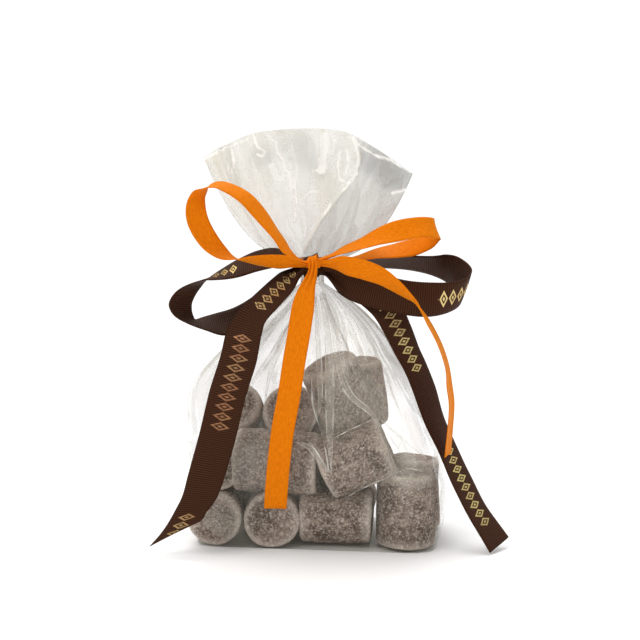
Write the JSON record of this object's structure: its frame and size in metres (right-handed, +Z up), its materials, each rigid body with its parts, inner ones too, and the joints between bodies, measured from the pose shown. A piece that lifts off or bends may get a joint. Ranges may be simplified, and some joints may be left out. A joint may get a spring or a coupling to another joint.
{
  "type": "bag of chocolate truffles",
  "caption": "Clear block-bottomed film bag of cocoa-dusted chocolate truffles, gathered at the neck and tied with an orange satin and a brown grosgrain ribbon bow.",
  "frame": {"origin": "middle of the flat base of the bag", "axes": "+Z up through the tied neck, -Y to the front where the bows are, +X to the right seen from the front"},
  "size_m": [0.1588, 0.0873, 0.187],
  "materials": {
    "clear_film": "clear, thin, crinkled and glossy",
    "orange_satin": "satin weave with a soft sheen",
    "brown_grosgrain": "cross-ribbed, with small gold marks",
    "cocoa_dust": "matt, dusted with cocoa and sugar"
  },
  "bodies": {
    "root": {"bag": "clear_film", "orange_ribbon": "orange_satin", "brown_ribbon": "brown_grosgrain"}
  },
  "joints": []
}
